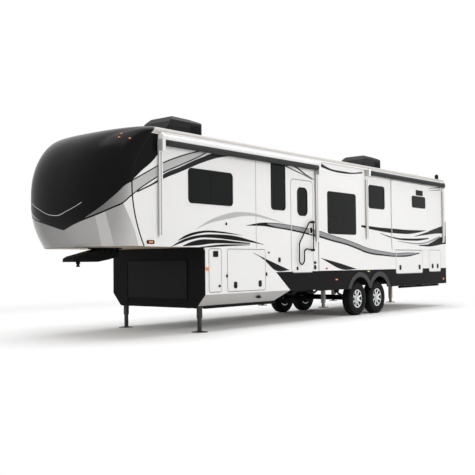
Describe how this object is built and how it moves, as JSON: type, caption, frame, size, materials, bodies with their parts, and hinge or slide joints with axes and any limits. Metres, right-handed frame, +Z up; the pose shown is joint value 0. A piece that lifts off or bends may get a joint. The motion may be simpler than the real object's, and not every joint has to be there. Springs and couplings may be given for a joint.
{
  "type": "fifth-wheel travel trailer",
  "caption": "Long fifth-wheel travel trailer on two axles, with a moulded front cap, slide rooms, baggage doors, awnings, a pin box and front legs.",
  "frame": {"origin": "on the ground, under the middle of the body's length and width", "axes": "+X forward towards the kingpin, +Y to the trailer's left, the side with the entry door, +Z up"},
  "size_m": [12.5239, 2.6018, 4.065],
  "materials": {
    "panel_white": "gloss fibreglass laminate",
    "roof_white": "matt roofing membrane",
    "panel_grey": "satin",
    "cap_black": "high gloss gelcoat",
    "skirt_black": "satin",
    "trim_grey": "moulded",
    "frame_black": "satin",
    "spring_black": "satin",
    "floor_board": "plain",
    "leg_steel": "worn satin",
    "jack_tan": "worn satin",
    "dark_glass": "tinted gloss",
    "black_plastic": "moulded",
    "vent_white": "moulded",
    "awning_white": "satin",
    "lamp_red": "lens",
    "ladder_aluminium": "satin",
    "tyre": "rubber",
    "alloy": "polished",
    "rail_black": "gloss"
  },
  "bodies": {
    "trailer": {"chassis_frame": "frame_black", "cross_members": "frame_black", "axles": "frame_black", "leaf_springs": "spring_black", "floor_deck": "floor_board", "belly_pan": "panel_grey", "front_bulkhead": "skirt_black", "side_wall_left": "panel_white", "side_wall_right": "panel_white", "rear_wall": "panel_white", "roof": "roof_white", "front_cap": "cap_black", "skirts": "skirt_black", "arch_trims": "trim_grey", "pin_box": "frame_black", "front_legs": "leg_steel", "levelling_jacks": "jack_tan", "windows": "dark_glass", "roof_air_units": "black_plastic", "roof_vents": "vent_white", "awnings": "awning_white", "tail_lamps": "lamp_red", "rear_ladder": "ladder_aluminium"},
    "wheel_front_left": {"tyre_front_left": "tyre", "rim_front_left": "alloy"},
    "wheel_front_right": {"tyre_front_right": "tyre", "rim_front_right": "alloy"},
    "wheel_rear_left": {"tyre_rear_left": "tyre", "rim_rear_left": "alloy"},
    "wheel_rear_right": {"tyre_rear_right": "tyre", "rim_rear_right": "alloy"},
    "entry_door": {"entry_door": "panel_white", "entry_door_window": "dark_glass", "grab_rail": "rail_black"},
    "bag_door_narrow": {"bag_door_narrow": "panel_white"},
    "bag_door_pass_left": {"bag_door_pass_left": "panel_white"},
    "bag_door_rear": {"bag_door_rear": "panel_white"},
    "bag_door_utility": {"bag_door_utility": "panel_white"},
    "bag_door_pass_right": {"bag_door_pass_right": "panel_white"},
    "slide_main": {"slide_main": "panel_white", "slide_main_window": "dark_glass"},
    "slide_kitchen": {"slide_kitchen": "panel_white", "slide_kitchen_window": "dark_glass"},
    "slide_living": {"slide_living": "panel_white", "slide_living_window": "dark_glass"}
  },
  "joints": [
    {"name": "wheel_front_left_spin", "type": "hinge", "parent": "trailer", "child": "wheel_front_left", "pos_m": [-1.42, 1.052, 0.388], "axis": [0, 1, 0], "continuous": true},
    {"name": "wheel_front_right_spin", "type": "hinge", "parent": "trailer", "child": "wheel_front_right", "pos_m": [-1.42, -1.052, 0.388], "axis": [0, 1, 0], "continuous": true},
    {"name": "wheel_rear_left_spin", "type": "hinge", "parent": "trailer", "child": "wheel_rear_left", "pos_m": [-2.345, 1.052, 0.388], "axis": [0, 1, 0], "continuous": true},
    {"name": "wheel_rear_right_spin", "type": "hinge", "parent": "trailer", "child": "wheel_rear_right", "pos_m": [-2.345, -1.052, 0.388], "axis": [0, 1, 0], "continuous": true},
    {"name": "entry_door_swing", "type": "hinge", "parent": "trailer", "child": "entry_door", "pos_m": [1.323, 1.225, 2.011], "axis": [0, 0, -1], "range_deg": [0, 160]},
    {"name": "bag_door_narrow_swing", "type": "hinge", "parent": "trailer", "child": "bag_door_narrow", "pos_m": [3.87, 1.225, 1.116], "axis": [0, 0, -1], "range_deg": [0, 110]},
    {"name": "bag_door_pass_left_lift", "type": "hinge", "parent": "trailer", "child": "bag_door_pass_left", "pos_m": [2.7825, 1.225, 1.506], "axis": [1, 0, 0], "range_deg": [0, 170]},
    {"name": "bag_door_rear_lift", "type": "hinge", "parent": "trailer", "child": "bag_door_rear", "pos_m": [-3.9475, 1.225, 1.538], "axis": [1, 0, 0], "range_deg": [0, 85]},
    {"name": "bag_door_utility_lift", "type": "hinge", "parent": "trailer", "child": "bag_door_utility", "pos_m": [-5.4515, 1.225, 1.553], "axis": [1, 0, 0], "range_deg": [0, 170]},
    {"name": "bag_door_pass_right_lift", "type": "hinge", "parent": "trailer", "child": "bag_door_pass_right", "pos_m": [2.7825, -1.225, 1.506], "axis": [-1, 0, 0], "range_deg": [0, 170]},
    {"name": "slide_main_travel", "type": "slide", "parent": "trailer", "child": "slide_main", "axis": [0, 1, 0], "range_m": [0, 0.8]},
    {"name": "slide_kitchen_travel", "type": "slide", "parent": "trailer", "child": "slide_kitchen", "axis": [0, 1, 0], "range_m": [0, 0.8]},
    {"name": "slide_living_travel", "type": "slide", "parent": "trailer", "child": "slide_living", "axis": [0, -1, 0], "range_m": [0, 0.8]}
  ]
}
